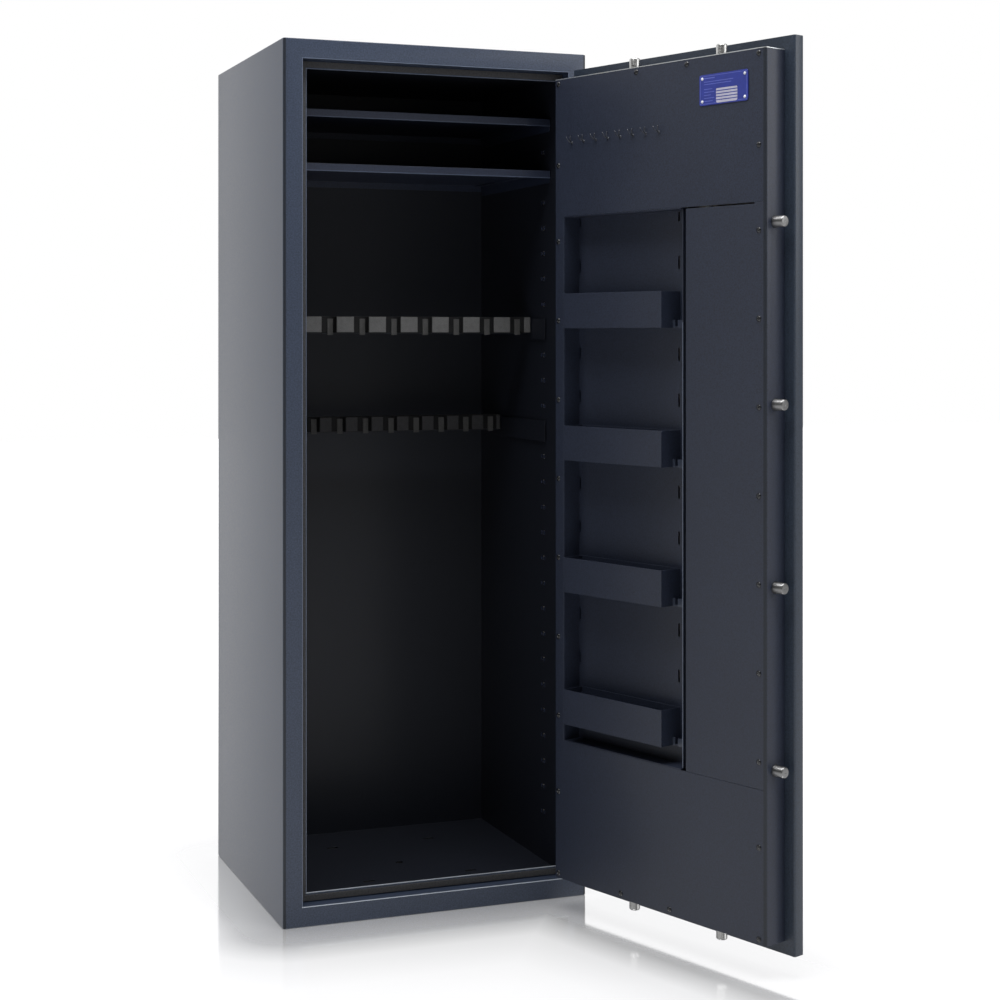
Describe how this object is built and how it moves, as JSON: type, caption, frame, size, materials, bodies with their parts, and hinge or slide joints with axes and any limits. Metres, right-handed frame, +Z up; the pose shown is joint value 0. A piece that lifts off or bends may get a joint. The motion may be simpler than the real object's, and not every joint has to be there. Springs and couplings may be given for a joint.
{
  "type": "gun safe",
  "caption": "Free-standing steel gun safe: open hinged door with trays, recess and sliding bolts, and shelves and barrel racks inside.",
  "frame": {"origin": "middle of the cabinet's underside, on the floor", "axes": "+Z up, the cabinet's front and its door opening face -Y, +X towards the hinge side"},
  "size_m": [0.7085, 0.9731, 1.5],
  "materials": {
    "shell_paint": "fine-textured powder coat, dark blue-grey, satin",
    "interior_paint": "fine-textured powder coat, very dark grey-blue, satin",
    "door_paint": "fine-textured powder coat, dark grey, satin",
    "fire_board": "raw pressed board",
    "seal_rubber": "matte extruded rubber",
    "rack_foam": "matte dense foam rubber",
    "bright_steel": "turned and lightly brushed",
    "zinc_steel": "zinc plated, dull",
    "hinge_brass": "plain machined",
    "label_blue": "blue enamelled plate with a light grey field, no text"
  },
  "bodies": {
    "cabinet": {"outer_shell": "shell_paint", "inner_liner": "interior_paint", "insulation_left": "fire_board", "insulation_right": "fire_board", "insulation_back": "fire_board", "insulation_top": "fire_board", "insulation_bottom": "fire_board", "door_seal": "seal_rubber", "shelf_1": "interior_paint", "shelf_1_rail_left": "interior_paint", "shelf_1_rail_right": "interior_paint", "shelf_2": "interior_paint", "shelf_2_rail_left": "interior_paint", "shelf_2_rail_right": "interior_paint", "upper_rack_carrier": "interior_paint", "lower_rack_carrier": "interior_paint", "upper_rack_foam": "rack_foam", "lower_rack_foam": "rack_foam", "bottom_hinge_fixed_knuckle": "shell_paint", "bottom_hinge_pin": "zinc_steel", "bottom_hinge_washer": "hinge_brass", "top_hinge_fixed_knuckle": "shell_paint", "top_hinge_pin": "zinc_steel", "top_hinge_washer": "hinge_brass"},
    "door": {"door_plate": "shell_paint", "door_infill": "fire_board", "door_casing": "door_paint", "side_cover": "door_paint", "recess_pan": "door_paint", "tray_1": "door_paint", "tray_2": "door_paint", "tray_3": "door_paint", "tray_4": "door_paint", "label_plate": "label_blue", "mechanism_plate": "zinc_steel", "lock_case": "zinc_steel", "handle_rose": "bright_steel", "keyhole_escutcheon": "bright_steel", "keyhole_cover_rivet": "bright_steel", "bottom_hinge_door_strap": "shell_paint", "top_hinge_door_strap": "shell_paint"},
    "side_bolts": {"side_bolt_bar": "zinc_steel", "side_bolt_1": "bright_steel", "side_bolt_2": "bright_steel", "side_bolt_3": "bright_steel", "side_bolt_4": "bright_steel"},
    "top_bolts": {"top_bolt_bar": "zinc_steel", "top_bolt_1": "bright_steel", "top_bolt_2": "bright_steel"},
    "bottom_bolts": {"bottom_bolt_bar": "zinc_steel", "bottom_bolt_1": "bright_steel", "bottom_bolt_2": "bright_steel"},
    "handle": {"handle_lever": "bright_steel", "handle_spindle": "zinc_steel", "cam_disc": "zinc_steel"},
    "keyhole_cover": {"keyhole_cover": "bright_steel"},
    "lock_bolt": {"lock_bolt": "hinge_brass"}
  },
  "joints": [
    {"name": "door_hinge", "type": "hinge", "parent": "cabinet", "child": "door", "pos_m": [0.262, -0.2435, 0], "axis": [0, 0, 1], "range_deg": [-109.5, 70.5]},
    {"name": "handle_turn", "type": "hinge", "parent": "door", "child": "handle", "pos_m": [0.37464, -0.59454, 0.75], "axis": [-0.9426, -0.3338, 0], "range_deg": [0, 60]},
    {"name": "side_bolts_slide", "type": "slide", "parent": "door", "child": "side_bolts", "axis": [0.3338, -0.9426, 0], "range_m": [-0.016, 0]},
    {"name": "top_bolts_slide", "type": "slide", "parent": "door", "child": "top_bolts", "axis": [0, 0, 1], "range_m": [-0.016, 0]},
    {"name": "bottom_bolts_slide", "type": "slide", "parent": "door", "child": "bottom_bolts", "axis": [0, 0, -1], "range_m": [-0.016, 0]},
    {"name": "keyhole_cover_swing", "type": "hinge", "parent": "door", "child": "keyhole_cover", "pos_m": [0.37698, -0.60113, 0.929], "axis": [-0.9426, -0.3338, 0], "range_deg": [-90, 90]},
    {"name": "lock_bolt_slide", "type": "slide", "parent": "door", "child": "lock_bolt", "axis": [0.3338, -0.9426, 0], "range_m": [0, 0.008]}
  ],
  "couplings": [
    {"joint": "side_bolts_slide", "follows": "handle_turn", "m_per_rad": -0.015278},
    {"joint": "top_bolts_slide", "follows": "handle_turn", "m_per_rad": -0.015278},
    {"joint": "bottom_bolts_slide", "follows": "handle_turn", "m_per_rad": -0.015278}
  ]
}
